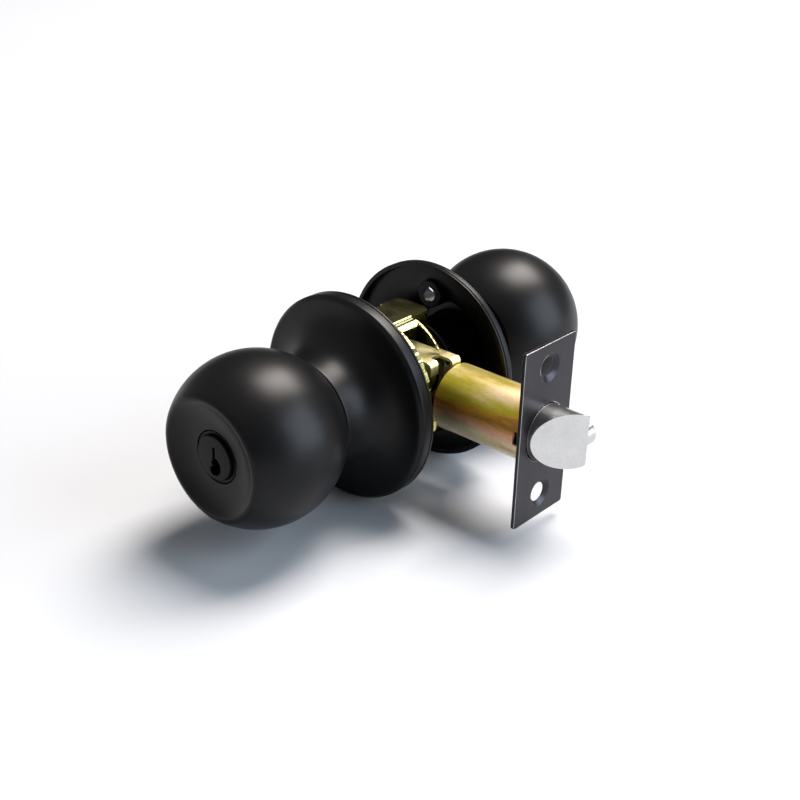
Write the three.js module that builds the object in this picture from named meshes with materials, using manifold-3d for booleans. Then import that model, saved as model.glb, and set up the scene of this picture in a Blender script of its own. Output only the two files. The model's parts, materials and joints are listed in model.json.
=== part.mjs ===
// Keyed entry ball knob lockset with a spring latch: millimetres, +Z up.
// The origin is where the knob axis (Y) crosses the latch axis (X); the outside knob is on the -Y side.
import * as THREE from 'three';
import { mergeVertices } from 'three/addons/utils/BufferGeometryUtils.js';
import Module from 'manifold-3d';

const wasm = await Module();
wasm.setup();

// door and layout
const doorThickness = 34.7;
const outsideFaceOffset = 21.1; // latch axis to the outside face of the door
const backset = 57; // knob axis to the outer face of the faceplate
const seatGap = 0.3; // between pieces that bear on each other
const outsideDoorY = -outsideFaceOffset;
const insideDoorY = doorThickness - outsideFaceOffset;

// key cylinder
const cylinderRadius = 7.7;
const cylinderWall = 1.5;
const plugRadius = cylinderRadius - cylinderWall;
const plugFaceRadius = plugRadius + 0.55;
const plugFaceProud = 1; // beyond the bottom of the dish
const cylinderLength = 30;
const chamberCount = 5;
const chamberPitch = 4;
const firstChamber = 6; // from the front of the cylinder to the first chamber
const chamberRadius = 1.6;
const pinRadius = 1.32;
const pinTower = plugRadius + 6.2;
const towerHalfWidth = 3.4;
const keyPinBottoms = [2.6, 1.9, 3.2, 2.3, 2.9];

// spindles and hubs
const spindleWall = 2;
const spindleRadius = cylinderRadius + seatGap + spindleWall;
const runningGap = 0.35;
const hubWall = 2.25;
const hubRadius = spindleRadius + runningGap + hubWall;
const hubFlangeThickness = 1.2;
const outsideFlangeRadius = 19;
const insideFlangeRadius = 15;

// knobs
const knobRadius = 26;
const knobWall = 1.4;
const outsideStandoff = 39.7; // door face to the centre of the ball
const insideStandoff = 40.5;
const dishRimHeight = knobRadius * 0.7154;
const dishDepth = 3.3;
const backRimHeight = -knobRadius * 0.7385;
const dishRimRadius = Math.sqrt(knobRadius ** 2 - dishRimHeight ** 2);
const shankRadius = spindleRadius + 3;
const shankLength = 3.5;

// roses
const roseRadius = 32.6;
const roseWall = 1.2;
const outsideRimDepth = 4.2;
const insideRimDepth = 3.2;
const collarRadius = shankRadius + 4;
const collarGap = 0.8; // axial gap between collar and ball
const screwRadius = 2.4;
const screwCircle = 21.8;
const screwTurn = -4; // degrees off the vertical
const cupRadius = 3.7;
const cupWall = 0.8;
const cupFloorDepth = 2.1;

// case
const drumRadius = 21.7;
const drumWall = 0.8;
const drumEndY = 0;
const windowFlare = 4.8; // how much taller the drum's window is at its inner end
const strapHalfWidth = 6.8;
const strapLip = 3;
const strapThickness = 1.2;
const frameWall = 1;
const frameEndY = 7.7;

// latch
const tubeRadius = 10.6;
const tubeWall = 0.9;
const tubeInnerX = drumRadius + 1.7;
const plateWidth = 24.2;
const plateHeight = 56.8;
const plateThickness = 1.2;
const plateCorner = 1;
const plateScrewSpacing = 41.3;
const plateScrewRadius = 3;
const plateSinkRadius = 4.6;
const boltRadius = 8.9;
const boltProjection = 13;
const boltFlatY = 3.9;
const boltBevelRun = 11.3;
const boltHeadThickness = 2.5;
const boltBodyLength = 25;
const travel = 12.5;
const plungerHalfWidth = 3.3;
const plungerTipSetback = 0.7; // behind the bolt tip
const plungerLength = 12.3;

// retractor
const sheet = 1;
const channelNearY = -8.4;
const channelFarY = 1.6;
const channelHalfHeight = 12.2;
const channelRearX = -4;
const camHalfLength = 15;
const camHalfThickness = 1.5;
const camWidth = 4;
const camFreePlay = 0.85;

// inside button
const buttonRadius = 4.7;
const stemRadius = 1.4;

const roundSegments = 36;
const smallSegments = 16;

const blackPaint = { color: 0x1b1b1d, roughness: 0.42, metalness: 0.35 };
const plateBlack = { color: 0x33333a, roughness: 0.4, metalness: 0.7 };
const zincYellow = { color: 0xc2ad62, roughness: 0.35, metalness: 0.85 };
const steel = { color: 0xb9bbbe, roughness: 0.35, metalness: 0.9 };
const boltSteel = { color: 0xd6d7d8, roughness: 0.3, metalness: 0.9 };
const springSteel = { color: 0x9a9ca0, roughness: 0.3, metalness: 0.9 };
const brass = { color: 0xb9924a, roughness: 0.35, metalness: 0.9 };
const nylon = { color: 0xd9d6cc, roughness: 0.6, metalness: 0 };

const group = new THREE.Group();

function solidOf(geometry) {
  geometry.deleteAttribute('normal');
  geometry.deleteAttribute('uv');
  const merged = mergeVertices(geometry, 1e-4);
  const position = merged.attributes.position.array;
  const index = Uint32Array.from(merged.index.array);
  let volume = 0;
  for (let i = 0; i < index.length; i += 3) {
    const a = new THREE.Vector3().fromArray(position, 3 * index[i]);
    const b = new THREE.Vector3().fromArray(position, 3 * index[i + 1]);
    const c = new THREE.Vector3().fromArray(position, 3 * index[i + 2]);
    volume += a.dot(b.cross(c));
  }
  if (volume < 0) {
    for (let i = 0; i < index.length; i += 3) {
      [index[i], index[i + 1]] = [index[i + 1], index[i]];
    }
  }
  const mesh = new wasm.Mesh({ numProp: 3, vertProperties: Float32Array.from(position), triVerts: index });
  return new wasm.Manifold(mesh);
}

function geometryOf(solid) {
  const mesh = solid.getMesh();
  const geometry = new THREE.BufferGeometry();
  geometry.setAttribute('position', new THREE.BufferAttribute(mesh.vertProperties, 3));
  geometry.setIndex(new THREE.BufferAttribute(mesh.triVerts, 1));
  geometry.computeVertexNormals();
  return geometry;
}

function addPiece(name, solid, look) {
  const material = new THREE.MeshStandardMaterial({
    color: look.color,
    roughness: look.roughness,
    metalness: look.metalness,
  });
  const mesh = new THREE.Mesh(geometryOf(solid), material);
  mesh.name = name;
  group.add(mesh);
}

// a closed loop of [radius, height] points turned round Y
function turnedY(points, segments = roundSegments) {
  const closed = [...points, points[0]].map(([r, y]) => new THREE.Vector2(r, y));
  return solidOf(new THREE.LatheGeometry(closed, segments));
}

// the same turned round X, heights along +X
function turnedX(points, segments = roundSegments) {
  const closed = [...points, points[0]].map(([r, y]) => new THREE.Vector2(r, y));
  const geometry = new THREE.LatheGeometry(closed, segments);
  geometry.rotateZ(-Math.PI / 2);
  return solidOf(geometry);
}

function tubeY(outer, inner, low, high, segments = roundSegments) {
  return turnedY([[inner, low], [outer, low], [outer, high], [inner, high]], segments);
}

function rodY(radius, low, high, x = 0, z = 0, segments = smallSegments) {
  const geometry = new THREE.CylinderGeometry(radius, radius, high - low, segments);
  geometry.translate(x, (low + high) / 2, z);
  return solidOf(geometry);
}

function rodX(radius, low, high, y = 0, z = 0, segments = smallSegments) {
  const geometry = new THREE.CylinderGeometry(radius, radius, high - low, segments);
  geometry.rotateZ(-Math.PI / 2);
  geometry.translate((low + high) / 2, y, z);
  return solidOf(geometry);
}

function rodZ(radius, low, high, x = 0, y = 0, segments = smallSegments) {
  const geometry = new THREE.CylinderGeometry(radius, radius, high - low, segments);
  geometry.rotateX(Math.PI / 2);
  geometry.translate(x, y, (low + high) / 2);
  return solidOf(geometry);
}

function box(x0, x1, y0, y1, z0, z1) {
  const geometry = new THREE.BoxGeometry(x1 - x0, y1 - y0, z1 - z0);
  geometry.translate((x0 + x1) / 2, (y0 + y1) / 2, (z0 + z1) / 2);
  return solidOf(geometry);
}

// an outline of [y, z] points pushed along X
function plateX(points, x0, x1) {
  const shape = new THREE.Shape(points.map(([y, z]) => new THREE.Vector2(y, z)));
  const geometry = new THREE.ExtrudeGeometry(shape, { depth: x1 - x0, bevelEnabled: false });
  const axes = new THREE.Matrix4().makeBasis(
    new THREE.Vector3(0, 1, 0),
    new THREE.Vector3(0, 0, 1),
    new THREE.Vector3(1, 0, 0),
  );
  geometry.applyMatrix4(axes);
  geometry.translate(x0, 0, 0);
  return solidOf(geometry);
}

// an outline of [x, z] points pushed along Y
function plateY(points, y0, y1) {
  const shape = new THREE.Shape(points.map(([x, z]) => new THREE.Vector2(x, z)));
  const geometry = new THREE.ExtrudeGeometry(shape, { depth: y1 - y0, bevelEnabled: false });
  geometry.rotateX(Math.PI / 2);
  geometry.translate(0, y1, 0);
  return solidOf(geometry);
}

// an outline of [x, y] points pushed along Z
function plateZ(points, z0, z1) {
  const shape = new THREE.Shape(points.map(([x, y]) => new THREE.Vector2(x, y)));
  const geometry = new THREE.ExtrudeGeometry(shape, { depth: z1 - z0, bevelEnabled: false });
  geometry.translate(0, 0, z0);
  return solidOf(geometry);
}

function arcPoints(radius, from, to, steps) {
  const points = [];
  for (let i = 0; i <= steps; i += 1) {
    const angle = from + ((to - from) * i) / steps;
    points.push([radius * Math.sin(angle), radius * Math.cos(angle)]);
  }
  return points;
}

class Helix extends THREE.Curve {
  constructor(radius, length, turns, frame) {
    super();
    this.radius = radius;
    this.length = length;
    this.turns = turns;
    this.frame = frame;
  }

  getPoint(t, target = new THREE.Vector3()) {
    const angle = 2 * Math.PI * this.turns * t;
    target.set(this.radius * Math.cos(angle), this.radius * Math.sin(angle), this.length * t);
    return target.applyMatrix4(this.frame);
  }
}

// a coil of wire between two points on one axis
function coil(start, end, radius, wire, turns, stepsPerTurn = 8) {
  const from = new THREE.Vector3(...start);
  const along = new THREE.Vector3(...end).sub(from);
  const length = along.length();
  along.normalize();
  const turn = new THREE.Quaternion().setFromUnitVectors(new THREE.Vector3(0, 0, 1), along);
  const low = from.clone().addScaledVector(along, wire);
  const frame = new THREE.Matrix4().compose(low, turn, new THREE.Vector3(1, 1, 1));
  const path = new Helix(radius, length - 2 * wire, turns, frame);
  const side = wire * 0.886;
  const shape = new THREE.Shape([
    new THREE.Vector2(-side, -side),
    new THREE.Vector2(side, -side),
    new THREE.Vector2(side, side),
    new THREE.Vector2(-side, side),
  ]);
  const steps = Math.round(turns * stepsPerTurn);
  return solidOf(new THREE.ExtrudeGeometry(shape, { steps, extrudePath: path, bevelEnabled: false }));
}

// ---- knobs and roses, made by one function for each side ----
// side is -1 outside and +1 inside; heights are counted outwards from the ball's centre or the door face

function knobShell(side, centreY, holeRadius) {
  const inner = knobRadius - knobWall;
  const frontAngle = Math.acos(dishRimHeight / knobRadius);
  const backAngle = Math.acos(backRimHeight / knobRadius);
  const points = arcPoints(knobRadius, backAngle, frontAngle, 12);
  const dishSteps = 3;
  const dish = [];
  for (let i = 1; i <= dishSteps; i += 1) {
    const t = i / dishSteps;
    const drop = dishDepth * (1 - (1 - t) ** 2);
    dish.push([dishRimRadius - (dishRimRadius - holeRadius) * t, dishRimHeight - drop]);
  }
  points.push(...dish);
  points.push([holeRadius, dishRimHeight - dishDepth - 2 * knobWall]);
  points.push([holeRadius + knobWall, dishRimHeight - dishDepth - 2 * knobWall]);
  points.push([holeRadius + knobWall, dishRimHeight - dishDepth - knobWall]);
  points.push([dish[0][0] - knobWall, dish[0][1] - knobWall]);
  points.push(...arcPoints(inner, frontAngle + 0.06, backAngle - 0.05, 5));
  return turnedY(points.map(([r, h]) => [r, centreY + side * h]));
}

function knobBack(side, centreY) {
  const inner = knobRadius - knobWall;
  const edge = inner * Math.sin(Math.acos(backRimHeight / knobRadius) - 0.05) - seatGap;
  const hole = spindleRadius + seatGap;
  const points = [
    [hole, backRimHeight + 1.3],
    [edge, backRimHeight + 1.3],
    [edge, backRimHeight + 0.1],
    [shankRadius + 2, backRimHeight - 0.6],
    [shankRadius + 0.4, backRimHeight - 1.4],
    [shankRadius, backRimHeight - 2],
    [shankRadius, backRimHeight - shankLength],
    [hole, backRimHeight - shankLength],
  ];
  return turnedY(points.map(([r, h]) => [r, centreY + side * h]));
}

function bellPoints(face, collar, faceDepth, collarDepth, steps) {
  const points = [];
  for (let i = 0; i <= steps; i += 1) {
    const angle = (Math.PI / 2) * (1 - i / steps);
    const across = Math.cos(angle) ** 0.9;
    const along = Math.sin(angle) ** 0.8;
    points.push([face - (face - collar) * across, collarDepth - (collarDepth - faceDepth) * along]);
  }
  return points;
}

function roseProfile(standoff, rimDepth) {
  const collarDepth = standoff + backRimHeight - collarGap;
  const band = rimDepth * 0.35;
  const lip = roseRadius - 0.2;
  const outer = [
    [roseRadius, 0],
    [roseRadius, band],
    [roseRadius - 0.6, band + 0.2],
    [roseRadius - 0.6, band + 0.5],
    [lip, band + 0.7],
    [lip, rimDepth - 0.6],
    [roseRadius - 0.7, rimDepth - 0.1],
  ];
  const bell = bellPoints(roseRadius - 1.6, collarRadius, rimDepth + 0.2, collarDepth, 8);
  return { outer: [...outer, ...bell], collarDepth };
}

function rose(side, doorY, standoff, rimDepth) {
  const { outer, collarDepth } = roseProfile(standoff, rimDepth);
  const inner = bellPoints(
    roseRadius - roseWall - 0.6,
    collarRadius - roseWall,
    rimDepth + 0.2 - roseWall,
    collarDepth,
    5,
  ).reverse();
  const points = [...outer, ...inner, [roseRadius - roseWall - 0.2, 0]];
  return turnedY(points.map(([r, d]) => [r, doorY + side * d]));
}

// the rose with its turned profile filled to the axis
function filledRose(side, doorY, standoff, rimDepth) {
  const { outer, collarDepth } = roseProfile(standoff, rimDepth);
  const points = [[0, 0], ...outer, [0, collarDepth]];
  return turnedY(points.map(([r, d]) => [r, doorY + side * d]));
}

function hub(side, doorY, flangeRadius, flangeY, standoff) {
  const end = doorY + side * (standoff + backRimHeight - shankLength - seatGap);
  const bore = spindleRadius + runningGap;
  const shoulder = flangeY + side * hubFlangeThickness;
  return turnedY([
    [bore, flangeY],
    [flangeRadius, flangeY],
    [flangeRadius, shoulder],
    [hubRadius, shoulder],
    [hubRadius, end],
    [bore, end],
  ]);
}

function roseRing(side, doorY, standoff) {
  const end = doorY + side * (standoff + backRimHeight - shankLength - seatGap);
  const inner = hubRadius + seatGap;
  const outer = collarRadius - roseWall - seatGap;
  const low = Math.min(end - side * 3, end - side * 0.3);
  const high = Math.max(end - side * 3, end - side * 0.3);
  return tubeY(outer, inner, low, high);
}

const outsideKnobY = outsideDoorY - outsideStandoff;
const insideKnobY = insideDoorY + insideStandoff;

// outside rose, ring and hub
addPiece('outside_rose', rose(-1, outsideDoorY, outsideStandoff, outsideRimDepth), blackPaint);
addPiece('outside_rose_ring', roseRing(-1, outsideDoorY, outsideStandoff), steel);
const outsideFlangeY = outsideDoorY - seatGap;
addPiece('outside_hub', hub(-1, outsideDoorY, outsideFlangeRadius, outsideFlangeY, outsideStandoff), zincYellow);

// inside rose with two dimpled screw seats
let insideRose = rose(1, insideDoorY, insideStandoff, insideRimDepth);
const filled = filledRose(1, insideDoorY, insideStandoff, insideRimDepth);
const bellTop = insideDoorY + insideStandoff;
const cupFloorY = insideDoorY + cupFloorDepth;
for (const end of [-1, 1]) {
  const angle = THREE.MathUtils.degToRad(90 - screwTurn) * end;
  const x = screwCircle * Math.cos(angle) * end;
  const z = screwCircle * Math.sin(angle);
  const cup = rodY(cupRadius + cupWall, cupFloorY, bellTop, x, z).intersect(filled);
  const hollow = rodY(cupRadius, cupFloorY + cupWall, bellTop + 5, x, z);
  const hole = rodY(screwRadius, cupFloorY - 5, bellTop, x, z);
  insideRose = insideRose.add(cup).subtract(hollow).subtract(hole);
}
addPiece('inside_rose', insideRose, blackPaint);
addPiece('inside_rose_ring', roseRing(1, insideDoorY, insideStandoff), steel);
const insideFlangeY = frameEndY + frameWall + seatGap;
addPiece('inside_hub', hub(1, insideDoorY, insideFlangeRadius, insideFlangeY, insideStandoff), blackPaint);

// ---- case ----
const drumInner = drumRadius - drumWall;
const strapTop = drumRadius + 0.2;
const strapBottom = strapTop - strapThickness;
const axleHole = spindleRadius + runningGap + 0.05;
let drum = turnedY([
  [axleHole, outsideDoorY],
  [drumRadius, outsideDoorY],
  [drumRadius, drumEndY],
  [drumInner, drumEndY],
  [drumInner, outsideDoorY + drumWall],
  [axleHole, outsideDoorY + drumWall],
], 48);
const slotHalf = strapHalfWidth + seatGap;
const slotStart = outsideDoorY + drumWall + 0.05;
for (const end of [-1, 1]) {
  const low = end > 0 ? drumInner * 0.9 : -drumRadius - 1;
  const high = end > 0 ? drumRadius + 1 : -drumInner * 0.9;
  drum = drum.subtract(box(-slotHalf, slotHalf, slotStart, drumEndY + 1, low, high));
}
const windowHalf = channelHalfHeight + 0.8;
const windowStart = channelNearY - 0.8;
const windowEdge = [[drumEndY + 1, windowHalf], [drumEndY, windowHalf], [windowStart, windowHalf + windowFlare]];
const windowFoot = windowEdge.map(([y, z]) => [y, -z]).reverse();
drum = drum.subtract(plateX([...windowEdge, ...windowFoot], 5, drumRadius + 5));
addPiece('case_drum', drum, zincYellow);

const frameStartY = outsideDoorY + drumWall + seatGap;
const seatFrontX = channelRearX - travel - 0.5;
const seatHalf = Math.sqrt((drumInner - 0.2) ** 2 - (seatFrontX - frameWall) ** 2);
const stripInner = 6.3;
let frame = tubeY(drumInner - 0.4, axleHole, frameStartY, frameStartY + frameWall, 48);
for (const end of [-1, 1]) {
  const low = end > 0 ? strapBottom : -strapTop;
  const high = end > 0 ? strapTop : -strapBottom;
  frame = frame.add(box(-strapHalfWidth, strapHalfWidth, frameStartY, frameEndY + frameWall, low, high));
  const lipLow = end > 0 ? strapTop - strapLip : -strapTop;
  const lipHigh = end > 0 ? strapTop : strapLip - strapTop;
  for (const edge of [-strapHalfWidth, strapHalfWidth - frameWall]) {
    frame = frame.add(box(edge, edge + frameWall, frameStartY, drumEndY - 0.6, lipLow, lipHigh));
  }
  const outerZ = end * (strapBottom + 0.4);
  const armLow = Math.min(outerZ, end * (hubRadius - 1));
  const armHigh = Math.max(outerZ, end * (hubRadius - 1));
  frame = frame.add(box(-4, 4, frameEndY, frameEndY + frameWall, armLow, armHigh));
  const stripLow = Math.min(end * stripInner, end * seatHalf);
  const stripHigh = Math.max(end * stripInner, end * seatHalf);
  const stripFront = frameStartY + frameWall - 0.2;
  frame = frame.add(box(seatFrontX - frameWall, seatFrontX, stripFront, -6.5, stripLow, stripHigh));
}
frame = frame.add(tubeY(hubRadius + 1, axleHole, frameEndY, frameEndY + frameWall, 32));
const seatStart = channelNearY + sheet + 0.4;
frame = frame.add(box(seatFrontX - frameWall, seatFrontX, seatStart, 3, -seatHalf, seatHalf));
addPiece('case_frame', frame, zincYellow);

// ---- retractor: a folded channel with two claws and a shoulder for each spindle ----
const top = channelHalfHeight;
const clawNearX = drumRadius - 1.5;
const clawFarX = drumRadius + 1.1;
const wallEndX = drumRadius - 3.2;
const stopX = 8;
const shoulderX = -camHalfThickness - camFreePlay;
const outerCamRadius = 5.5;
const outerShoulderX = -outerCamRadius - 0.8;
let retractor = box(channelRearX, wallEndX, channelNearY, channelNearY + sheet, -top, top);
for (const end of [-1, 1]) {
  const plateLow = end > 0 ? top - sheet : -top;
  const plateHigh = end > 0 ? top : sheet - top;
  const clawLow = end > 0 ? top - 4.3 : -top;
  const clawHigh = end > 0 ? top : 4.3 - top;
  retractor = retractor
    .add(box(channelRearX, wallEndX - 1.5, channelNearY, channelFarY, plateLow, plateHigh))
    .add(box(wallEndX - 3, clawNearX, channelNearY, channelNearY + 3.6, plateLow, plateHigh))
    .add(box(wallEndX - 3, clawFarX, channelFarY - 2.8, channelFarY + 1, plateLow, plateHigh))
    .add(box(clawNearX - sheet, clawNearX, channelNearY, channelNearY + 3.6, clawLow, clawHigh))
    .add(box(clawFarX - sheet, clawFarX, channelFarY - 2.8, channelFarY + 1, clawLow, clawHigh));
}
const camY = 3;
retractor = retractor
  .add(box(stopX, stopX + sheet, channelNearY + 0.5, channelFarY, 0.5 - top, top - 0.5))
  .add(box(shoulderX - 1.2, shoulderX, channelFarY - 0.6, camY + camWidth - 0.4, -camHalfLength, camHalfLength))
  .add(box(outerShoulderX - sheet, channelRearX + 1, channelNearY, channelNearY + sheet, -4.5, 4.5))
  .add(box(outerShoulderX - sheet, outerShoulderX, channelNearY - 4.6, channelNearY + sheet, -4.5, 4.5));
addPiece('retractor', retractor, zincYellow);

const springY = -3;
const springZ = 7.4;
for (const [name, z] of [['retractor_spring_upper', springZ], ['retractor_spring_lower', -springZ]]) {
  const start = [seatFrontX + seatGap, springY, z];
  const end = [stopX - seatGap, springY, z];
  addPiece(name, coil(start, end, 2.5, 0.4, 7, 7), springSteel);
}

// ---- latch ----
const faceInnerX = backset - plateThickness;
const tubeInnerRadius = tubeRadius - tubeWall;
let tube = turnedX([
  [tubeInnerRadius, tubeInnerX],
  [tubeRadius, tubeInnerX],
  [tubeRadius, faceInnerX - seatGap],
  [tubeInnerRadius, faceInnerX - seatGap],
]);
tube = tube.subtract(box(faceInnerX - 2.6, faceInnerX + 1, -tubeRadius - 1, -tubeInnerRadius + 1.4, -1.6, 2.6));
addPiece('latch_tube', tube, zincYellow);

const capX = tubeInnerX + 0.2;
let cap = rodX(tubeInnerRadius - seatGap, capX, capX + 1.1, 0, 0, 32);
cap = cap.subtract(box(capX - 1, capX + 3, -1.1, 1.1, -4, 4));
addPiece('tube_cap', cap, zincYellow);

function plateOutline(width, height, corner) {
  const points = [];
  const corners = [[1, 1, 0], [-1, 1, 90], [-1, -1, 180], [1, -1, 270]];
  for (const [sideY, sideZ, start] of corners) {
    for (let i = 0; i <= 2; i += 1) {
      const angle = THREE.MathUtils.degToRad(start + 45 * i);
      const y = sideY * (width / 2 - corner) + corner * Math.cos(angle);
      const z = sideZ * (height / 2 - corner) + corner * Math.sin(angle);
      points.push([y, z]);
    }
  }
  return points;
}

let faceplate = plateX(plateOutline(plateWidth, plateHeight, plateCorner), faceInnerX, backset);
faceplate = faceplate.subtract(rodX(boltRadius + seatGap, faceInnerX - 1, backset + 1, 0, 0, 36));
for (const end of [-1, 1]) {
  const z = (end * plateScrewSpacing) / 2;
  faceplate = faceplate.subtract(rodX(plateScrewRadius, faceInnerX - 1, backset + 1, 0, z, 20));
  const sink = new THREE.CylinderGeometry(plateSinkRadius + 0.4, plateScrewRadius, 1.4, 20);
  sink.rotateZ(-Math.PI / 2);
  sink.translate(backset - 0.5, 0, z);
  faceplate = faceplate.subtract(solidOf(sink));
}
addPiece('faceplate', faceplate, plateBlack);

const boltTipX = backset + boltProjection;
const boltRearX = boltTipX - boltBodyLength;
let bolt = rodX(boltRadius, boltRearX, boltTipX, 0, 0, 36);
bolt = bolt.subtract(box(boltRearX - 1, boltTipX + 1, boltFlatY, boltRadius + 2, -boltRadius - 1, boltRadius + 1));
bolt = bolt.add(rodX(tubeInnerRadius - seatGap, boltRearX, boltRearX + boltHeadThickness, 0, 0, 36));
const bevelStartX = boltTipX - boltBevelRun;
const bevelLeadX = (1.5 * boltBevelRun) / (boltRadius + boltFlatY);
bolt = bolt.subtract(plateZ([
  [bevelStartX - bevelLeadX, -boltRadius - 1.5],
  [boltTipX - 0.5, boltFlatY - 0.6],
  [boltTipX - 0.1, boltFlatY + 0.5],
  [boltTipX + 5, boltFlatY + 0.5],
  [boltTipX + 5, -boltRadius - 1.5],
], -boltRadius - 1, boltRadius + 1));
for (const end of [-1, 1]) {
  const low = boltRadius - 1.4;
  bolt = bolt.subtract(plateY([
    [boltTipX - 2.6, end * (boltRadius + 1)],
    [boltTipX - 2.6, end * boltRadius],
    [boltTipX - 0.9, end * (boltRadius - 0.5)],
    [boltTipX + 1, end * (low - 0.9)],
    [boltTipX + 1, end * (boltRadius + 1)],
  ], -2 * boltRadius, boltRadius));
}
addPiece('latch_bolt', bolt, boltSteel);

const tailHeadX = clawFarX - sheet - 0.5;
let tail = box(tailHeadX - 2, tailHeadX, -1, 1, -9.4, 9.4);
tail = tail.add(box(tailHeadX - 0.5, boltRearX - seatGap, -0.6, 0.6, -3.4, 3.4));
addPiece('latch_tail', tail, steel);

const springStartX = capX + 1.1 + seatGap;
const latchSpring = coil([springStartX, 0, 0], [boltRearX - seatGap, 0, 0], 7.2, 0.5, 5, 10);
addPiece('latch_spring', latchSpring, springSteel);

const plungerLowY = boltFlatY + 0.25;
const plungerHighY = boltRadius - 0.5;
const plungerTipX = boltTipX - plungerTipSetback;
const plungerRearX = plungerTipX - plungerLength;
const pocketDepth = plungerLength - 3.3;
const plungerMidY = (plungerLowY + plungerHighY) / 2;
const nose = [];
for (let i = 0; i <= 8; i += 1) {
  const angle = -Math.PI / 2 + (Math.PI * i) / 8;
  const round = plungerHalfWidth;
  nose.push([plungerTipX - 2.4 + 2.4 * Math.cos(angle), round * Math.sin(angle)]);
}
let plunger = plateY([[plungerRearX, plungerHalfWidth], [plungerRearX, -plungerHalfWidth], ...nose],
  plungerLowY, plungerHighY);
plunger = plunger.intersect(rodX(boltRadius - 0.1, plungerRearX - 1, plungerTipX + 1, 0, 0, 36));
plunger = plunger.subtract(rodX(1.5, plungerRearX - 1, plungerRearX + pocketDepth, plungerMidY, 0, 12));
addPiece('deadlatch_plunger', plunger, boltSteel);
const plungerSpringStart = [boltRearX + boltHeadThickness + seatGap, plungerMidY, 0];
const plungerSpringEnd = [plungerRearX + pocketDepth - seatGap, plungerMidY, 0];
addPiece('plunger_spring', coil(plungerSpringStart, plungerSpringEnd, 0.95, 0.2, 8, 6), springSteel);

// ---- outside knob, spindle and key cylinder ----
const holeRadius = cylinderRadius + seatGap;
addPiece('outside_knob_shell', knobShell(-1, outsideKnobY, holeRadius), blackPaint);
addPiece('outside_knob_back', knobBack(-1, outsideKnobY), blackPaint);

const dishBottomY = outsideKnobY - (dishRimHeight - dishDepth);
const plugFaceY = dishBottomY - plugFaceProud;
const cylinderFrontY = dishBottomY + 0.2;
const cylinderRearY = cylinderFrontY + cylinderLength;
const towerFrontY = cylinderFrontY + 2 * knobWall + 0.5;
const towerRearY = cylinderRearY - 4;
const spindleFrontY = towerRearY + 0.4;
const spindleInner = spindleRadius - spindleWall;
const outerCamEndY = channelNearY - 0.6;
const outerCamStartY = outerCamEndY - 5.2;
let outsideSpindle = turnedY([
  [spindleInner, spindleFrontY],
  [spindleRadius, spindleFrontY],
  [spindleRadius, outerCamStartY],
  [2.9, outerCamStartY],
  [2.9, outerCamStartY - 1],
  [spindleInner, outerCamStartY - 1],
]);
let outerCam = tubeY(outerCamRadius, 3.2, outerCamStartY - 0.5, outerCamEndY, 24);
outerCam = outerCam.intersect(box(-outerCamRadius - 1, 0, outerCamStartY - 1, 0, -6, 6));
outsideSpindle = outsideSpindle.add(outerCam);
addPiece('outside_spindle', outsideSpindle, zincYellow);

const plugBore = plugRadius + 0.25;
const counterDepth = 1.5;
const chambers = [];
for (let i = 0; i < chamberCount; i += 1) {
  chambers.push(cylinderFrontY + firstChamber + chamberPitch * i);
}
const towerTop = pinTower;
let cylinder = rodY(cylinderRadius, cylinderFrontY, cylinderRearY, 0, 0, 32);
cylinder = cylinder.add(box(-towerHalfWidth, towerHalfWidth, towerFrontY, towerRearY, plugRadius, towerTop));
cylinder = cylinder.subtract(rodY(plugBore, cylinderFrontY - 1, cylinderRearY + 1, 0, 0, 32));
cylinder = cylinder.subtract(rodY(plugFaceRadius + 0.25, cylinderFrontY - 1, cylinderFrontY + counterDepth, 0, 0, 32));
for (const y of chambers) {
  cylinder = cylinder.subtract(rodZ(chamberRadius, 2, towerTop + 1, 0, y, 12));
}
addPiece('cylinder_body', cylinder, brass);
const coverFront = towerFrontY + 0.3;
const coverRear = towerRearY - 0.3;
addPiece('chamber_cover', box(-2.9, 2.9, coverFront, coverRear, towerTop + seatGap, towerTop + 0.9), brass);

const plugRearY = cylinderRearY + 0.2;
const keyway = [
  [-0.55, 3.4],
  [0.55, 3.4],
  [0.55, 0.9],
  [1.5, 0.1],
  [1.9, -1.4],
  [1.2, -3.2],
  [0.1, -5.1],
  [-1.2, -5.3],
  [-2.1, -4.2],
  [-1.0, -2.9],
  [-0.3, -1.6],
  [-0.95, -0.4],
  [-0.55, 0.7],
];
let plug = rodY(plugFaceRadius, plugFaceY, cylinderFrontY + counterDepth - 0.3, 0, 0, 32);
plug = plug.add(rodY(plugRadius, plugFaceY + 1, plugRearY, 0, 0, 32));
plug = plug.subtract(plateY(keyway, plugFaceY - 1, plugRearY + 1));
plug = plug.add(rodY(4.4, plugRearY - 1.5, plugRearY + 2, 0, 0, 20));
for (const y of chambers) {
  plug = plug.subtract(rodZ(chamberRadius, 1.4, plugRadius + 1, 0, y, 12));
}
addPiece('key_plug', plug, plateBlack);
for (const [i, y] of chambers.entries()) {
  const number = i + 1;
  const keyPinTop = plugRadius - 0.25;
  const driverBottom = plugRadius + 0.35;
  addPiece(`key_pin_${number}`, rodZ(pinRadius, keyPinBottoms[i], keyPinTop, 0, y, 10), brass);
  addPiece(`driver_pin_${number}`, rodZ(pinRadius, driverBottom, driverBottom + 2.6, 0, y, 10), brass);
  const springLow = [0, y, driverBottom + 2.9];
  addPiece(`pin_spring_${number}`, coil(springLow, [0, y, towerTop], 0.95, 0.18, 3, 6), springSteel);
}
addPiece('plug_clip', tubeY(plugRadius + 0.7, 4.7, plugRearY + 0.3, plugRearY + 1.1, 20), springSteel);
const tailStartY = plugRearY + 2.3;
let tailpiece = rodY(4, tailStartY, tailStartY + 1, 0, 0, 16);
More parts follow.
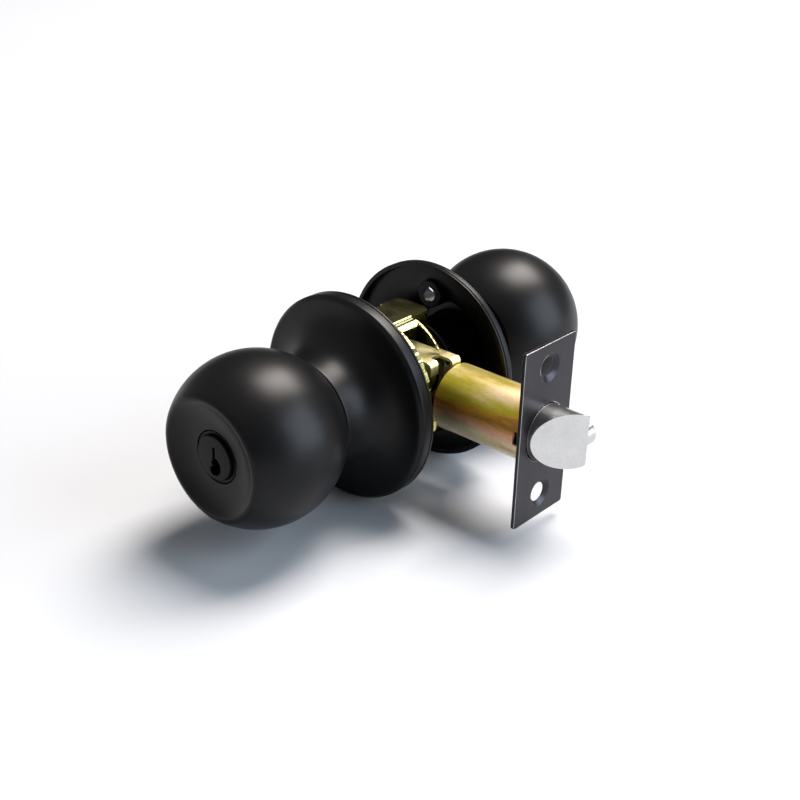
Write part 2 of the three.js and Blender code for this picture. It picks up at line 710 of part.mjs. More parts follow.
tailpiece = tailpiece.add(box(-0.6, 0.6, tailStartY + 0.5, outerCamEndY - 0.2, -2.5, 2.5));
addPiece('tailpiece', tailpiece, steel);

// ---- inside knob, spindle and lock button ----
const buttonHole = buttonRadius + seatGap;
addPiece('inside_knob_shell', knobShell(1, insideKnobY, buttonHole), blackPaint);
addPiece('inside_knob_back', knobBack(1, insideKnobY), blackPaint);

const spindleOuterEnd = insideKnobY + backRimHeight + 8;
const camEndY = camY + camWidth;
let insideSpindle = turnedY([
  [stemRadius + 0.4, camEndY - 0.2],
  [spindleRadius, camEndY - 0.2],
  [spindleRadius, spindleOuterEnd],
  [spindleInner, spindleOuterEnd],
  [spindleInner, camEndY + 1],
  [stemRadius + 0.4, camEndY + 1],
]);
const camOutline = [];
for (const end of [1, -1]) {
  for (let i = 0; i <= 4; i += 1) {
    const angle = end > 0 ? (Math.PI * i) / 4 : Math.PI + (Math.PI * i) / 4;
    const x = camHalfThickness * Math.cos(angle);
    camOutline.push([x, end * (camHalfLength - camHalfThickness) + camHalfThickness * Math.sin(angle)]);
  }
}
let camBar = plateY(camOutline, camY, camEndY);
camBar = camBar.add(rodY(3.2, camY + 0.5, camEndY, 0, 0, 20));
camBar = camBar.subtract(rodY(stemRadius + 0.4, camY - 1, camEndY + 1, 0, 0, 20));
const camRelief = -shoulderX - seatGap;
camBar = camBar.intersect(box(-camRelief, 5, camY - 1, camEndY + 1, -camHalfLength - 1, camHalfLength + 1));
insideSpindle = insideSpindle.add(camBar);
insideSpindle = insideSpindle.subtract(rodY(stemRadius + 0.4, camY - 1, camEndY + 2, 0, 0, 20));
addPiece('inside_spindle', insideSpindle, zincYellow);

const guideY = spindleOuterEnd - 4;
addPiece('stem_guide', tubeY(spindleInner - seatGap, stemRadius + 0.3, guideY, guideY + 3, 24), nylon);
const buttonFrontY = insideKnobY + dishRimHeight - dishDepth + 1.6;
const buttonRearY = buttonFrontY - 6;
const stemEndY = camY + 2;
addPiece('lock_button', rodY(buttonRadius, buttonRearY, buttonFrontY, 0, 0, 24), steel);
const collarY = guideY + 14;
let stem = rodY(stemRadius, stemEndY, buttonRearY - 0.3, 0, 0, 12);
stem = stem.add(rodY(3.6, collarY, collarY + 1.2, 0, 0, 16));
addPiece('button_stem', stem, steel);
const buttonSpringStart = [0, guideY + 3 + seatGap, 0];
addPiece('button_spring', coil(buttonSpringStart, [0, collarY - seatGap, 0], 2.7, 0.35, 5), springSteel);

export default group;
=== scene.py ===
import json
import math

import bmesh
import bpy
from mathutils import Matrix, Vector


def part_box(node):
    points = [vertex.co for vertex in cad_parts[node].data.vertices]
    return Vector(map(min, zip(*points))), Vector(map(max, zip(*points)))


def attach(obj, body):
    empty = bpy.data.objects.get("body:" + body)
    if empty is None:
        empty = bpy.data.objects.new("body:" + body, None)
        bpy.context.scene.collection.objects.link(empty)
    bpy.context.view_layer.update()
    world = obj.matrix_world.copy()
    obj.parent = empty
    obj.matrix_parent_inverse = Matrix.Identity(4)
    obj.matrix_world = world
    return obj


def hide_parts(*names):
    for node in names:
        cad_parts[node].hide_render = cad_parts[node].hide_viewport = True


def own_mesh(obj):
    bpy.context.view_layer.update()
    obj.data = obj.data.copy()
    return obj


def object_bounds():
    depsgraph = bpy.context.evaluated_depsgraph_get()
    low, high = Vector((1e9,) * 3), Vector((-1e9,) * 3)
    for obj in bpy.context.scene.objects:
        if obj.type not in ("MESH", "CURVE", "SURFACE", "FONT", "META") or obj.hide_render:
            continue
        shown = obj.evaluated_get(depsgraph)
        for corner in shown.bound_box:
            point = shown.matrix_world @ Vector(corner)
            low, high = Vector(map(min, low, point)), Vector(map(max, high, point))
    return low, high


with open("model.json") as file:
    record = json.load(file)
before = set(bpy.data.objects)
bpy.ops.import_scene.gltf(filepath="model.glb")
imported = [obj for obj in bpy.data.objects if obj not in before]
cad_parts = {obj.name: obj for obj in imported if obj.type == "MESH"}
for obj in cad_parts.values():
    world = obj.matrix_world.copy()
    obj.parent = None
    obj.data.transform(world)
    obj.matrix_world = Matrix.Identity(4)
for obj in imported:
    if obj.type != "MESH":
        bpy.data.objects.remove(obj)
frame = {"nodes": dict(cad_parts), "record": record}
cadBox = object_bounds()
nodes = frame["nodes"]
mm = 0.001  # pieces are drawn in millimetres and written in metres
print("frame loaded:", len(nodes), "nodes")


def span(node):
    # lowest and highest corner of a CAD node, in millimetres
    low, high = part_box(node)
    return low / mm, high / mm


def toAxis(axis, a, b, along):
    # a point from its place along an axis and its two other coordinates, in the order of the axes
    return {"X": (along, a, b), "Y": (a, along, b), "Z": (a, b, along)}[axis]


def filleted(points, steps=5):
    # rounds the corners of a closed outline that are given as (a, b, radius); (a, b) stays sharp
    out = []
    points = [p for i, p in enumerate(points) if math.dist(p[:2], points[i - 1][:2]) > 1e-5]
    count = len(points)
    for i, point in enumerate(points):
        if len(point) == 2 or point[2] <= 0:
            out.append((point[0], point[1]))
            continue
        here = Vector(point[:2])
        before = Vector(points[i - 1][:2]) - here
        after = Vector(points[(i + 1) % count][:2]) - here
        half = before.angle(after) / 2
        reach = min(point[2] / math.tan(half), 0.48 * before.length, 0.48 * after.length)
        radius = reach * math.tan(half)
        middle = (before.normalized() + after.normalized()).normalized()
        centre = here + middle * (radius / math.sin(half))
        start = here + before.normalized() * reach - centre
        stop = here + after.normalized() * reach - centre
        first = math.atan2(start.y, start.x)
        sweep = (math.atan2(stop.y, stop.x) - first + math.pi) % (2 * math.pi) - math.pi
        for k in range(steps + 1):
            angle = first + sweep * k / steps
            out.append((centre.x + radius * math.cos(angle), centre.y + radius * math.sin(angle)))
    return out


def finishMesh(name, bm):
    # closes off a mesh drawn in millimetres and gives it an object at the origin
    bmesh.ops.remove_doubles(bm, verts=bm.verts, dist=1e-4)
    bmesh.ops.recalc_face_normals(bm, faces=bm.faces)
    bm.transform(Matrix.Scale(mm, 4))
    mesh = bpy.data.meshes.new(name)
    bm.to_mesh(mesh)
    bm.free()
    obj = bpy.data.objects.new(name, mesh)
    bpy.context.scene.collection.objects.link(obj)
    shade(obj)
    return obj


def shade(obj, angle=28):
    mesh = obj.data
    mesh.shade_smooth()
    mesh.set_sharp_from_angle(angle=math.radians(angle))


def settle(obj):
    # works the modifiers of an object into its mesh
    graph = bpy.context.evaluated_depsgraph_get()
    made = bpy.data.meshes.new_from_object(obj.evaluated_get(graph))
    obj.modifiers.clear()
    old = obj.data
    obj.data = made
    made.name = old.name
    bpy.data.meshes.remove(old)


def turned(name, loop, axis, steps, at=(0, 0)):
    # a closed loop of (radius, height) turned round an axis that passes through `at`
    bm = bmesh.new()
    rings = []
    for radius, height in loop:
        if radius < 1e-6:
            rings.append([bm.verts.new(toAxis(axis, *at, height))] * steps)
            continue
        ring = []
        for i in range(steps):
            turn = 2 * math.pi * i / steps
            across = at[0] + radius * math.cos(turn), at[1] + radius * math.sin(turn)
            ring.append(bm.verts.new(toAxis(axis, *across, height)))
        rings.append(ring)
    for near, far in zip(rings, rings[1:] + rings[:1]):
        for i in range(steps):
            j = (i + 1) % steps
            corners = []
            for vert in (near[i], near[j], far[j], far[i]):
                if vert not in corners:
                    corners.append(vert)
            if len(corners) > 2:
                bm.faces.new(corners)
    return finishMesh(name, bm)


def pushed(name, outline, axis, low, high):
    # an outline in the other two axes, pushed from low to high along the axis
    bm = bmesh.new()
    near = [bm.verts.new(toAxis(axis, a, b, low)) for a, b in outline]
    far = [bm.verts.new(toAxis(axis, a, b, high)) for a, b in outline]
    bm.faces.new(near)
    bm.faces.new(far)
    for i in range(len(outline)):
        j = (i + 1) % len(outline)
        bm.faces.new((near[i], near[j], far[j], far[i]))
    return finishMesh(name, bm)


def block(name, x0, x1, y0, y1, z0, z1):
    return pushed(name, [(x0, y0), (x1, y0), (x1, y1), (x0, y1)], "Z", z0, z1)


def bentSheet(name, path, thickness, bend, axis, low, high):
    # sheet metal folded along a path of (a, b) points through its middle, with the inner bend radius
    sides = ([], [])
    count = len(path)
    for i, point in enumerate(path):
        here = Vector(point)
        before = (here - Vector(path[i - 1])).normalized() if i else None
        after = (Vector(path[i + 1]) - here).normalized() if i < count - 1 else None
        a, b = before or after, after or before
        normalA, normalB = Vector((-a.y, a.x)), Vector((-b.y, b.x))
        mitre = (normalA + normalB).normalized()
        reach = thickness / 2 / max(0.2, mitre.dot(normalA))
        turn = a.cross(b)
        for side, sign in zip(sides, (1, -1)):
            corner = here + mitre * reach * sign
            radius = 0
            if abs(turn) > 1e-6:
                radius = bend if turn * sign > 0 else bend + thickness
            side.append((corner.x, corner.y, radius))
    return pushed(name, filleted(sides[0] + sides[1][::-1]), axis, low, high)


def combine(target, tool, operation="DIFFERENCE"):
    # cuts the tool out of the target, or joins or keeps what they share, and uses the tool up
    modifier = target.modifiers.new("combine", "BOOLEAN")
    modifier.operation = operation
    modifier.solver = "EXACT"
    modifier.object = tool
    settle(target)
    mesh = tool.data
    bpy.data.objects.remove(tool)
    bpy.data.meshes.remove(mesh)


def softenEdges(obj, width, steps=2, limit=32, paint=-1):
    # a small round on every edge sharper than limit; paint is the material index that the rounds take
    obj.data.set_sharp_from_angle(angle=math.pi)
    modifier = obj.modifiers.new("soften", "BEVEL")
    modifier.width = width * mm
    modifier.segments = steps
    modifier.limit_method = "ANGLE"
    modifier.angle_limit = math.radians(limit)
    modifier.material = paint
    modifier.use_clamp_overlap = True
    obj.modifiers.new("weigh", "WEIGHTED_NORMAL").weight = 90  # flat faces stay flat to the eye
    settle(obj)


def placePiece(obj, body, slotName, material, *hides):
    # one finished piece: its material, the body it moves with and the nodes it stands for
    if not obj.data.materials:
        obj.data.materials.append(material)
    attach(obj, body)
    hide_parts(*hides)


def linear(code):
    # sRGB hex to the linear colour that the shader wants
    values = []
    for i in (0, 2, 4):
        c = int(code[i:i + 2], 16) / 255
        values.append(c / 12.92 if c <= 0.04045 else ((c + 0.055) / 1.055) ** 2.4)
    return (*values, 1.0)


def addNode(tree, kind, settings=None, links=None):
    # a node with its settings (inputs by name or number, anything else by attribute) and links
    node = tree.nodes.new(kind)
    for key, value in (settings or {}).items():
        if key == "stops":
            ramp = node.color_ramp.elements
            while len(ramp) < len(value):
                ramp.new(0.5)
            for element, (position, colour) in zip(ramp, value):
                element.position = position
                element.color = colour
        elif isinstance(key, int) or key in node.inputs:
            node.inputs[key].default_value = value
        else:
            setattr(node, key, value)
    for key, socket in (links or {}).items():
        tree.links.new(socket, node.inputs[key])
    return node


def newMaterial(name, **sockets):
    material = bpy.data.materials.new(name)
    material.use_nodes = True
    tree = material.node_tree
    tree.nodes.clear()
    shader = addNode(tree, "ShaderNodeBsdfPrincipled", {k.replace("_", " "): v for k, v in sockets.items()})
    addNode(tree, "ShaderNodeOutputMaterial", {}, {"Surface": shader.outputs[0]})
    coords = addNode(tree, "ShaderNodeTexCoord")
    return material, tree, shader, coords.outputs["Object"]


def finish(name, look, **sockets):
    # a broad cloud shifts the tone and a fine grain roughens the skin; both sizes are in millimetres
    material, tree, shader, coords = newMaterial(name, **sockets)
    stretched = addNode(tree, "ShaderNodeMapping", {
        "Scale": look.get("stretch", (1, 1, 1)),
    }, {"Vector": coords})
    cloud = addNode(tree, "ShaderNodeTexNoise", {
        "Scale": 1 / (look["cloudMm"] * mm), "Detail": 4.0, "Roughness": 0.55,
    }, {"Vector": stretched.outputs[0]}).outputs["Fac"]
    grain = addNode(tree, "ShaderNodeTexNoise", {
        "Scale": 1 / (look["grainMm"] * mm), "Detail": 3.0, "Roughness": 0.6,
    }, {"Vector": stretched.outputs[0]}).outputs["Fac"]
    level = cloud
    if "climb" in look:
        # the tone also climbs from the lowest to the highest point, and the cloud pushes it up and down; the
        # climb paints light and shade by height along with the plating's bands
        split = addNode(tree, "ShaderNodeSeparateXYZ", {}, {0: coords})
        rise = addNode(tree, "ShaderNodeMapRange", {
            "From Min": look["climb"][0] * mm, "From Max": look["climb"][1] * mm,
        }, {"Value": split.outputs["Z"]})
        level = addNode(tree, "ShaderNodeMath", {"operation": "MULTIPLY_ADD", 1: look["drift"]}, {
            0: cloud, 2: rise.outputs[0],
        }).outputs[0]
        level = addNode(tree, "ShaderNodeMapRange", {
            "From Min": look["drift"] / 2, "From Max": 1 + look["drift"] / 2,
        }, {"Value": level}).outputs[0]
    tone = addNode(tree, "ShaderNodeValToRGB", {
        "stops": [(at, linear(code)) for at, code in look["tones"]],
    }, {"Fac": level})
    pits = addNode(tree, "ShaderNodeMapRange", {
        "From Min": 0.5, "From Max": 0.8, "To Min": 0.0, "To Max": look["pits"],
    }, {"Value": grain})
    # pits darken the tone with a dull grey brown
    speck = addNode(tree, "ShaderNodeMix", {
        "data_type": "RGBA", "blend_type": "MULTIPLY", 7: linear("8a8478"),
    }, {0: pits.outputs[0], 6: tone.outputs[0]})
    tree.links.new(speck.outputs[2], shader.inputs["Base Color"])
    uneven = addNode(tree, "ShaderNodeMapRange", {
        "From Min": 0.3, "From Max": 0.7,
        "To Min": look["rough"] - look["uneven"], "To Max": look["rough"] + look["uneven"],
    }, {"Value": cloud})
    rough = addNode(tree, "ShaderNodeMath", {"operation": "MULTIPLY_ADD", 1: look["uneven"]}, {
        0: grain, 2: uneven.outputs[0],
    })
    tree.links.new(rough.outputs[0], shader.inputs["Roughness"])
    skin = addNode(tree, "ShaderNodeBump", {
        "Strength": 0.15, "Distance": look["depthMm"] * mm,
    }, {"Height": grain})
    tree.links.new(skin.outputs[0], shader.inputs["Normal"])
    return material


# black powder coat on pressed steel: nearly black, a soft wide sheen and the faint skin of fused powder
powder = {
    "cloudMm": 14, "grainMm": 0.55, "tones": [(0.3, "070708"), (0.7, "0b0b0c")], "pits": 0.0,
    "rough": 0.37, "uneven": 0.02, "depthMm": 0.012,
}
black = finish("blackPowderCoat", powder, Metallic=0.0, IOR=1.5, Specular_IOR_Level=0.2)
# the same black on the cast plug, a shade greyer where keys have rubbed it; it is also painted on the
# cylinder body as shade round the plug
plugBlackAndGapShade = finish("blackPlugFace", {
    **powder, "tones": [(0.3, "0d0d0e"), (0.7, "131314")], "rough": 0.42,
}, Metallic=0.0, IOR=1.5, Specular_IOR_Level=0.12)
# yellow passivated zinc on the rolled tube: tan, gold, olive, orange and pink bands run along it, set by
# height and partly painted light: the cream top is a painted highlight and the pale pink-cream lower part a
# painted reflection of the floor
tubeZincWithPaintedLight = finish("yellowZincTubeWithPaintedLight", {
    "cloudMm": 6.5, "grainMm": 0.4, "stretch": (0.25, 1, 1), "climb": (-10.6, 10.6), "drift": 0.7,
    "tones": [
        (0.0, "d0b0a6"), (0.1, "f0cfc4"), (0.22, "f3e8bc"), (0.35, "f6e7b0"), (0.45, "f4c2a6"),
        (0.52, "eeb083"), (0.6, "dca052"), (0.67, "b98640"), (0.73, "e2a63e"), (0.8, "c9b838"),
        (0.87, "d3c24a"), (0.94, "e6d088"), (1.0, "f2d6aa"),
    ],
    "pits": 0.4, "rough": 0.36, "uneven": 0.06, "depthMm": 0.02,
}, Metallic=0.9)
# the same bath on the drawn case, painted darker olive gold as a shaded copy of the zinc, brighter where the
# film is thin
zinc = finish("yellowZincCase", {
    "cloudMm": 8, "grainMm": 0.4, "tones": [
        (0.28, "6b6540"), (0.42, "827c52"), (0.5, "979163"), (0.6, "a09662"), (0.72, "716a40"),
    ], "pits": 0.55, "rough": 0.22, "uneven": 0.03, "depthMm": 0.02,
}, Metallic=1.0)
# and on the folded retractor, painted pale straw as a lit copy of the same zinc, with a duller, more
# scattered shine
strawZincPaintedLight = finish("yellowZincRetractor", {
    "cloudMm": 6, "grainMm": 0.4, "tones": [
        (0.28, "bfb068"), (0.42, "ded291"), (0.55, "f2eabb"), (0.72, "d4c47c"),
    ], "pits": 0.4, "rough": 0.38, "uneven": 0.06, "depthMm": 0.02,
}, Metallic=1.0)
# cold-rolled strip blackened in a hot oxide bath: charcoal metal, brushed faintly along its length
plateBlack = finish("hotBlackenedStrip", {
    "cloudMm": 11, "grainMm": 0.9, "stretch": (1, 1, 0.12), "tones": [(0.25, "343337"), (0.75, "3e3d41")],
    "pits": 0.2, "rough": 0.36, "uneven": 0.03, "depthMm": 0.012,
}, Metallic=1.0)
# the strip's rounded edges, painted paler steel as a highlight along them
paintedEdgeHighlight = finish("stripEdgeHighlight", {
    "cloudMm": 4, "grainMm": 0.5, "tones": [(0.3, "8e8c8a"), (0.7, "b9b7b3")],
    "pits": 0.3, "rough": 0.36, "uneven": 0.03, "depthMm": 0.01,
}, Metallic=1.0)
# tumbled die casting: light satin grey with fine pits
boltSteel = finish("tumbledBoltCasting", {
    "cloudMm": 6, "grainMm": 0.45, "tones": [(0.3, "c9c9c7"), (0.7, "d6d6d4")],
    "pits": 0.3, "rough": 0.22, "uneven": 0.03, "depthMm": 0.015,
}, Metallic=1.0)
# bright zinc on turned and stamped steel: cool silver
plainSteel = finish("brightZincSteel", {
    "cloudMm": 5, "grainMm": 0.5, "tones": [(0.3, "9fa2a5"), (0.7, "bcbec0")],
    "pits": 0.2, "rough": 0.3, "uneven": 0.03, "depthMm": 0.01,
}, Metallic=1.0)
# hard-drawn spring wire: darker steel with a tight shine
wireSteel = finish("drawnSpringWire", {
    "cloudMm": 2, "grainMm": 0.4, "tones": [(0.3, "7e8084"), (0.7, "a2a4a7")],
    "pits": 0.1, "rough": 0.28, "uneven": 0.03, "depthMm": 0.006,
}, Metallic=1.0)
# turned brass, with its tool marks round the axis
turnedBrass = finish("turnedBrass", {
    "cloudMm": 5, "grainMm": 0.4, "stretch": (1, 6, 1), "tones": [(0.3, "a98549"), (0.7, "c29c5c")],
    "pits": 0.2, "rough": 0.3, "uneven": 0.03, "depthMm": 0.008,
}, Metallic=1.0)
# moulded nylon: milky off-white and waxy, with a faint flow mark
nylon = finish("mouldedNylon", {
    "cloudMm": 3, "grainMm": 1.0, "stretch": (1, 0.3, 1), "tones": [(0.3, "cfcbbd"), (0.7, "dedbd0")],
    "pits": 0.0, "rough": 0.48, "uneven": 0.04, "depthMm": 0.02,
}, Metallic=0.0, IOR=1.53, Subsurface_Weight=0.1)
# matt painted board: pale, with the barest unevenness
board = finish("mattBoard", {
    "cloudMm": 160, "grainMm": 9, "tones": [(0.3, "abaeb2"), (0.7, "adb0b4")],
    "pits": 0.0, "rough": 0.86, "uneven": 0.02, "depthMm": 0.001,
}, Metallic=0.0, Specular_IOR_Level=0.15)
print("materials made:", len(bpy.data.materials))

# CAD nodes that stay in view keep their shape and take the finish of their slot
slotLooks = {
    "black_paint": black, "dark_plate": plateBlack, "yellow_zinc": zinc, "bolt_steel": boltSteel,
    "plain_steel": plainSteel, "spring_steel": wireSteel, "brass": turnedBrass, "nylon": nylon,
}
for entry in frame["record"]["subparts"]:
    mesh = nodes[entry["node"]].data
    mesh.materials.clear()
    mesh.materials.append(slotLooks[entry["material_slot"]])
nodes["cylinder_body"].data.materials[0] = plugBlackAndGapShade  # painted shade: the brass body takes the plug's black to stand for the shade in the gap round the plug


# knobs: a spun ball with a dished face, closed by a pressed back

# millimetres; rim and back are heights as shares of the ball's radius, and rimRoll is in radians
ball = {
    "rim": 0.7154, "rimRoll": 0.085, "back": -0.7385, "wall": 1.4, "dishDepth": 3.3, "dishStart": 0.12,
    "shank": 13.0, "shankBore": 10.3,
}
knobs = {
    "outside": {"body": "outside_knob", "side": -1, "bore": 8.0},
    "inside": {"body": "inside_knob", "side": 1, "bore": 5.0},
}
for where, knob in knobs.items():
    low, high = span(where + "_knob_shell")
    radius = (high.x - low.x) / 2
    side, bore, wall = knob["side"], knob["bore"], ball["wall"]
    backHeight = ball["back"] * radius
    centre = high.y + backHeight if side < 0 else low.y - backHeight
    rimHeight = ball["rim"] * radius
    rimRadius = math.sqrt(radius ** 2 - rimHeight ** 2)
    innerRadius = radius - wall
    backAngle = math.acos(backHeight / radius)
    frontAngle = math.acos(rimHeight / radius)
    loop = []
    for k in range(73):
        angle = backAngle - 0.02 + (frontAngle + ball["rimRoll"] - backAngle + 0.02) * k / 72
        loop.append((radius * math.sin(angle), radius * math.cos(angle)))
    dish = []
    for k in range(15):
        t = ball["dishStart"] + (1 - ball["dishStart"]) * k / 14
        dish.append((
            rimRadius - (rimRadius - bore) * t,
            rimHeight - ball["dishDepth"] * (1 - (1 - t) ** 2),
        ))
    # the rim rolls over between the ball and the dish on a curve that is drawn towards their corner
    for k in range(1, 8):
        t = k / 8
        loop.append(tuple(
            (1 - t) ** 2 * a + 2 * t * (1 - t) * b + t ** 2 * c
            for a, b, c in zip(loop[-k], (rimRadius, rimHeight), dish[0])
        ))
    # down the dish, round the lip of the bore and back up the inside
    floorHeight = dish[-1][1]
    loop += dish[:-1] + [(*dish[-1], 0.25)]
    loop += [(bore, floorHeight - 2 * wall), (bore + wall, floorHeight - 2 * wall)]
    loop += [(bore + wall, floorHeight - wall), (dish[0][0] - wall, dish[0][1] - wall)]
    for k in range(31):
        angle = frontAngle + 0.06 + (backAngle - 0.05 - frontAngle - 0.06) * k / 30
        loop.append((innerRadius * math.sin(angle), innerRadius * math.cos(angle)))
    edge = radius * math.sin(backAngle)
    loop.append((edge - 0.35, backHeight - 0.02, 0.3))
    loop.append((edge, backHeight, 0.3))
    shell = turned(where + "KnobBall", [(r, centre + side * h) for r, h in filleted(loop)], "Y", 176)
    placePiece(shell, knob["body"], "black_paint", black, where + "_knob_shell")

    shank, shankBore = ball["shank"], ball["shankBore"]
    edge = innerRadius * math.sin(backAngle - 0.05) - 0.3
    loop = filleted([
        (shankBore, backHeight + 1.3), (edge, backHeight + 1.3, 0.3), (edge, backHeight + 0.1, 0.5),
        (shank + 2, backHeight - 0.6, 1.0), (shank + 0.4, backHeight - 1.5, 0.8),
        (shank, backHeight - 2.2, 0.4), (shank, backHeight - 3.5, 0.3), (shankBore, backHeight - 3.5),
    ])
    back = turned(where + "KnobBack", [(r, centre + side * h) for r, h in loop], "Y", 144)
    placePiece(back, knob["body"], "black_paint", black, where + "_knob_back")
print("knobs made")

# roses: pressed bells with a rolled rim band; the inside one has two dimpled screw seats

roses = {
    "outside": {"side": -1, "rim": 5.0, "groove": 0.7, "wall": 1.2, "collar": 17.0, "hubSlot": "yellow_zinc"},
    "inside": {"side": 1, "rim": 3.8, "groove": 0.5, "wall": 1.2, "collar": 17.0, "hubSlot": "black_paint"},
}
screwSeat = {"circle": 21.8, "turn": -4, "cup": 3.7, "wall": 0.8, "floor": 2.1, "hole": 2.4}
roseRing = {"inner": 12.9, "outer": 15.5}
hubTube = {"inner": 10.35, "outer": 12.6, "flange": 1.2}


def bell(face, collar, faceDepth, collarDepth, steps):
    # the curve of a pressed bell, from the edge of its face up to its collar
    points = []
    for k in range(steps + 1):
        angle = math.pi / 2 * (1 - k / steps)
        across = max(0.0, math.cos(angle)) ** 0.9
        along = max(0.0, math.sin(angle)) ** 0.8
        points.append((face - (face - collar) * across, collarDepth - (collarDepth - faceDepth) * along))
    return points


def roseLoops(radius, depth, rose):
    # the rim: a fine groove by the door, an upright band and a rolled shoulder
    rim, groove, collar, wall = rose["rim"], rose["groove"], rose["collar"], rose["wall"]
    outer = [
        (radius, 0, 0.2), (radius, groove, 0.15), (radius - 0.3, groove + 0.2, 0.1),
        (radius - 0.3, groove + 0.45, 0.1), (radius, groove + 0.65, 0.2),
        (radius, rim - 0.9, 0.9), (radius - 1.0, rim + 0.05, 0.4),
    ]
    face = bell(radius - 1.6, collar, rim + 0.2, depth, 44)
    hollow = bell(radius - 1.8, collar - wall, rim + 0.2 - wall, depth, 30)[::-1]
    return outer, face, hollow


for where, rose in roses.items():
    low, high = span(where + "_rose")
    side = rose["side"]
    radius = (high.x - low.x) / 2
    door = high.y if side < 0 else low.y
    depth = high.y - low.y
    outer, face, hollow = roseLoops(radius, depth, rose)
    loop = filleted(outer + face[:-1] + [(*face[-1], 0.35)] + [(*hollow[0], 0.35)] + hollow[1:] + [
        (radius - rose["wall"] - 0.2, 0, 0.2),
    ])
    rosePiece = turned(where + "Rose", [(r, door + side * h) for r, h in loop], "Y", 176)
    if where == "inside":
        # each seat is a boss trimmed to the bell's outside, then sunk and drilled
        cup, cupOuter, hole = screwSeat["cup"], screwSeat["cup"] + screwSeat["wall"], screwSeat["hole"]
        for end in (-1, 1):
            angle = math.radians(90 - screwSeat["turn"]) * end
            at = (screwSeat["circle"] * math.cos(angle) * end, screwSeat["circle"] * math.sin(angle))
            floor = door + screwSeat["floor"]
            cupFloor = floor + screwSeat["wall"]
            boss = turned("boss", [
                (0, floor), (cupOuter - 0.3, floor), (cupOuter, floor + 0.3),
                (cupOuter, door + 30), (0, door + 30),
            ], "Y", 64, at)
            solid = filleted([(0, 0)] + outer + face + [(0, depth)])
            solid = turned("solid", [(r, door + side * h) for r, h in solid], "Y", 176)
            combine(boss, solid, "INTERSECT")
            combine(rosePiece, boss, "UNION")
            combine(rosePiece, turned("cup", [
                (0, cupFloor), (cup - 0.5, cupFloor), (cup, cupFloor + 0.5), (cup, door + 40), (0, door + 40),
            ], "Y", 64, at))
            combine(rosePiece, turned("hole", [
                (0, floor - 3), (hole, floor - 3), (hole, door + 20), (0, door + 20),
            ], "Y", 48, at))
        shade(rosePiece, 32)
    placePiece(rosePiece, "lock", "black_paint", black, where + "_rose")

    low, high = span(where + "_rose_ring")
    inner, outer = roseRing["inner"], roseRing["outer"]
    ring = turned(where + "RoseRing", filleted([
        (inner, low.y, 0.2), (outer, low.y, 0.3), (outer, high.y, 0.3), (inner, high.y, 0.2),
    ]), "Y", 120)
    placePiece(ring, "lock", "plain_steel", black, where + "_rose_ring")

    low, high = span(where + "_hub")
    flange = (high.x - low.x) / 2
    near, far = (high.y, low.y) if side < 0 else (low.y, high.y)
    inner, outer, flangeEnd = hubTube["inner"], hubTube["outer"], near + side * hubTube["flange"]
    hub = turned(where + "Hub", filleted([
        (inner, near, 0.15), (flange, near, 0.3), (flange, flangeEnd, 0.3),
        (outer, flangeEnd, 0.5), (outer, far, 0.3), (inner, far, 0.2),
    ]), "Y", 120)
    placePiece(hub, "lock", rose["hubSlot"], slotLooks[rose["hubSlot"]], where + "_hub")
print("roses made")


# case: a deep-drawn drum and the folded frame inside it

case = {
    "wall": 0.8, "bore": 10.4, "slotHalf": 7.1, "slotFrom": 0.85, "windowHalf": 13.0, "windowFlare": 4.8,
    "windowFrom": -9.2, "post": 1.3, "edge": 1.0, "soften": 0.12,
}
low, high = span("case_drum")
drumRadius = max(high.z, high.x, -low.x)
bore, drumInner = case["bore"], drumRadius - case["wall"]
drum = turned("caseDrum", filleted([
    (bore, low.y, 0.2), (drumRadius, low.y, 1.4), (drumRadius, high.y, 0.3), (drumInner, high.y, 0.3),
    (drumInner, low.y + case["wall"], 0.6), (bore, low.y + case["wall"], 0.2),
]), "Y", 176)
half = case["slotHalf"]
for end in (-1, 1):
    z = sorted((end * 18.8, end * 23))
    combine(drum, block("slot", -half, half, low.y + case["slotFrom"], high.y + 1, *z))
window = case["windowHalf"]
corner = window + case["windowFlare"]
combine(drum, pushed("window", filleted([
    (case["windowFrom"], -corner, 1.0), (high.y, -window), (high.y + 1, -window),
    (high.y + 1, window), (high.y, window), (case["windowFrom"], corner, 1.0),
]), "X", 5, 27))
for end in (-1, 1):
    # the wall between slot and window is cut away but for a post and a thin bowed edge
    z = sorted((end * 9, end * 24))
    opening = block("opening", half + case["post"], 24, case["windowFrom"], high.y - case["edge"], *z)
    combine(opening, turned("keep", [(0, -30), (12, -30), (12, 5), (0, 5)], "Y", 48))
    combine(drum, opening)
softenEdges(drum, case["soften"])
placePiece(drum, "lock", "yellow_zinc", zinc, "case_drum")

